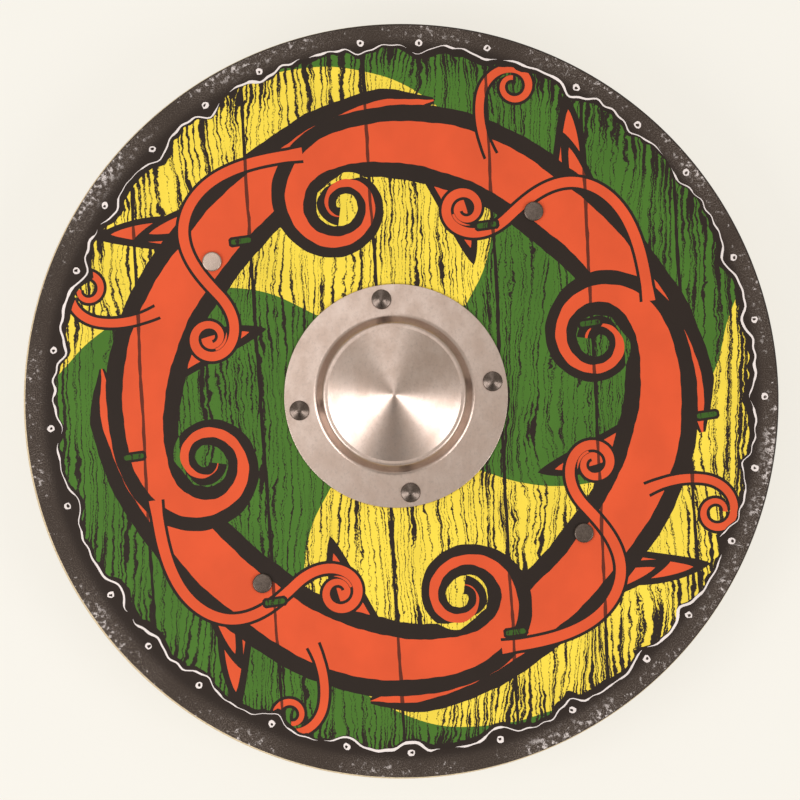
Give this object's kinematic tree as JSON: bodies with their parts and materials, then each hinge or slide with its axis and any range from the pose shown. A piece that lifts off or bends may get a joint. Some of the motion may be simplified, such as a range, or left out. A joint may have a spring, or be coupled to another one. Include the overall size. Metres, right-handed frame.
{
  "type": "wooden round shield",
  "caption": "Flat round plywood shield with a printed face, a pressed steel boss on rivets, and leather straps on the back; it lies face up on its straps.",
  "frame": {"origin": "on the ground, straight below the centre of the board, which lies on its straps", "axes": "+Z up, out of the painted face along the boss; +X to the right and +Y upwards as one looks at the face"},
  "size_m": [0.38, 0.38, 0.0662],
  "materials": {
    "board": "printed plywood, satin varnish, raw edge and back",
    "boss": "pressed sheet, turned on the cone, mottled on the flange",
    "rivets": "smooth, darkened",
    "straps": "plain brown leather with creased edges"
  },
  "bodies": {
    "root": {"board": "board", "boss": "boss", "boss_rivet_1": "rivets", "boss_rivet_2": "rivets", "boss_rivet_3": "rivets", "boss_rivet_4": "rivets", "strap_rivet_1": "rivets", "strap_rivet_2": "rivets", "strap_rivet_3": "rivets", "strap_rivet_4": "rivets", "arm_strap": "straps", "grip_strap": "straps"}
  },
  "joints": []
}
